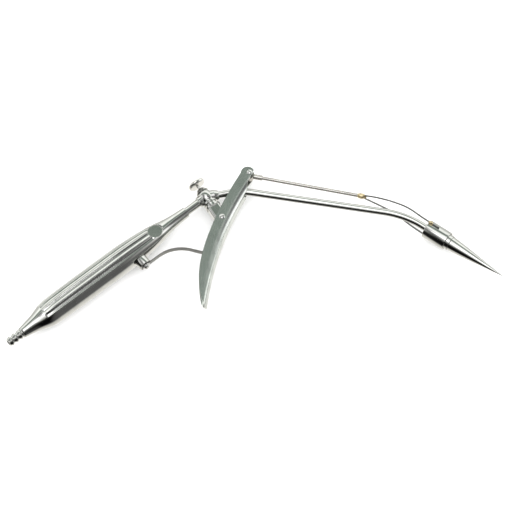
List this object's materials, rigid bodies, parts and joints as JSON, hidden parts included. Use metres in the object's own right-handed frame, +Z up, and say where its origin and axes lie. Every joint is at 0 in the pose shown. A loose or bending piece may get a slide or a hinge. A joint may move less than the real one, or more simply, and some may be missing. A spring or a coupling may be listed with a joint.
{
  "type": "suction band ligator",
  "caption": "Hand instrument with a hollow fluted handle, hose nozzle, press valve, cranked suction tube, finger lever, and a drum with sliding pusher sleeve and loading cone.",
  "frame": {"origin": "middle of the bounding box's underside, on the surface the instrument lies on", "axes": "+X from the hose end to the cone's point, +Y towards the thumb disc and the push rod's side, +Z up, square to the instrument's own plane"},
  "size_m": [0.3466, 0.1366, 0.0196],
  "materials": {
    "polished_steel": "mirror polished stainless steel",
    "screw_steel": "turned stainless steel",
    "wire_steel": "bright drawn stainless wire",
    "spring_steel": "satin spring steel",
    "braze": "cleaned silver-gold braze metal",
    "seal_rubber": "black rubber"
  },
  "bodies": {
    "root": {"hose_nozzle": "polished_steel", "handle_shell": "polished_steel", "tail_plug": "polished_steel", "suction_tube": "polished_steel", "spring_boss": "polished_steel", "return_spring": "spring_steel", "spring_washer": "screw_steel", "spring_screw": "screw_steel", "valve_body": "polished_steel", "valve_gland": "polished_steel", "stem_packing": "seal_rubber", "valve_spring": "spring_steel", "pivot_lug": "polished_steel", "shaft_ferrule": "polished_steel", "shaft_tube": "polished_steel", "drum_barrel": "polished_steel", "drum_base": "polished_steel"},
    "lever": {"finger_lever": "polished_steel", "pivot_screw": "screw_steel", "rod_screw": "screw_steel"},
    "pusher": {"rod_eye": "polished_steel", "push_rod": "wire_steel", "fork_knuckle": "braze", "fork_wire_near": "wire_steel", "fork_wire_far": "wire_steel", "braze_pads": "braze", "pusher_sleeve": "polished_steel"},
    "button": {"valve_button": "polished_steel", "valve_piston": "polished_steel", "piston_seal": "seal_rubber"},
    "cone": {"loading_cone": "polished_steel"}
  },
  "joints": [
    {"name": "lever_hinge", "type": "hinge", "parent": "root", "child": "lever", "pos_m": [-0.02345, 0.02901, 0.00979], "axis": [0, 0, 1], "range_deg": [-11.5, 0], "stiffness_Nm_per_rad": 0.6, "springref_deg": 8.59, "deforming": ["return_spring"]},
    {"name": "pusher_slide", "type": "slide", "parent": "root", "child": "pusher", "axis": [0.8171, -0.5764, 0], "range_m": [0, 0.0081]},
    {"name": "valve_press", "type": "slide", "parent": "root", "child": "button", "axis": [0.5519, -0.8339, 0], "range_m": [0, 0.0026], "stiffness_N_per_m": 400, "springref_m": -0.003, "deforming": ["valve_spring"]},
    {"name": "cone_pull", "type": "slide", "parent": "root", "child": "cone", "axis": [0.8171, -0.5764, 0], "range_m": [0, 0.03]}
  ],
  "couplings": [
    {"joint": "pusher_slide", "follows": "lever_hinge", "m_per_rad": -0.039902}
  ]
}
